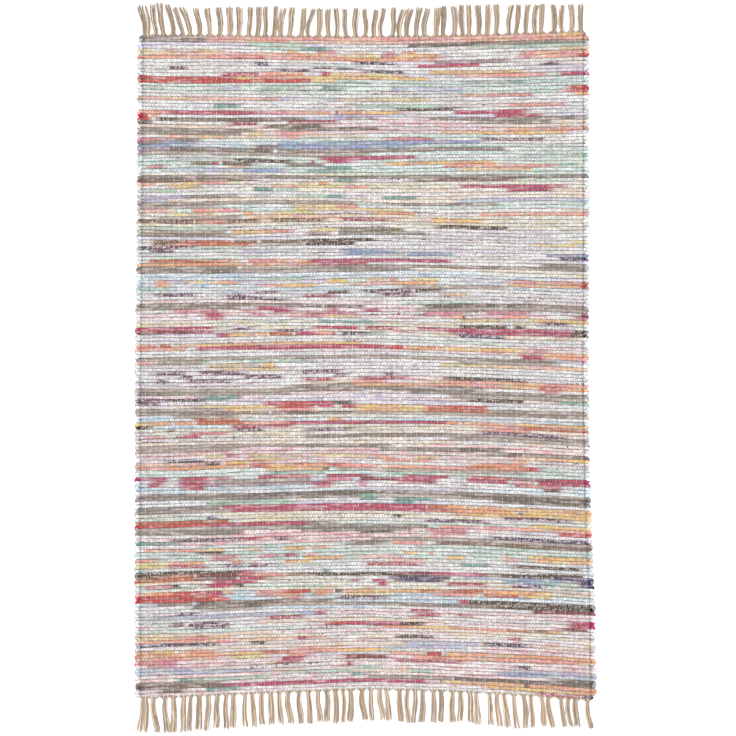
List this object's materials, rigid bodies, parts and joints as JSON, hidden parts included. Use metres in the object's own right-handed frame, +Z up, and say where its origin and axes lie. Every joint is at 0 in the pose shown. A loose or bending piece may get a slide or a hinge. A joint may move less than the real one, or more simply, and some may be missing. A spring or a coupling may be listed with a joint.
{
  "type": "rag rug",
  "caption": "Handwoven rag rug lying flat: ribbed rows of many-coloured rag weft on a cotton warp, looped selvedges and a warp fringe at both short ends.",
  "frame": {"origin": "middle of the rug's whole box, fringes included, on the floor plane under the rug", "axes": "+Z up out of the face, +Y along the rug's length towards its far end, +X across the rug to its right side"},
  "size_m": [1.4218, 2.253, 0.007],
  "materials": {
    "rag_weave": "matte torn-cloth weft in mixed pale colours with red, orange, pink, blue and taupe stripes",
    "cotton_warp": "matte plied cotton yarn, cream, tan and mustard"
  },
  "bodies": {
    "root": {"rug_body": "rag_weave", "fringe_far": "cotton_warp", "fringe_near": "cotton_warp"}
  },
  "joints": []
}
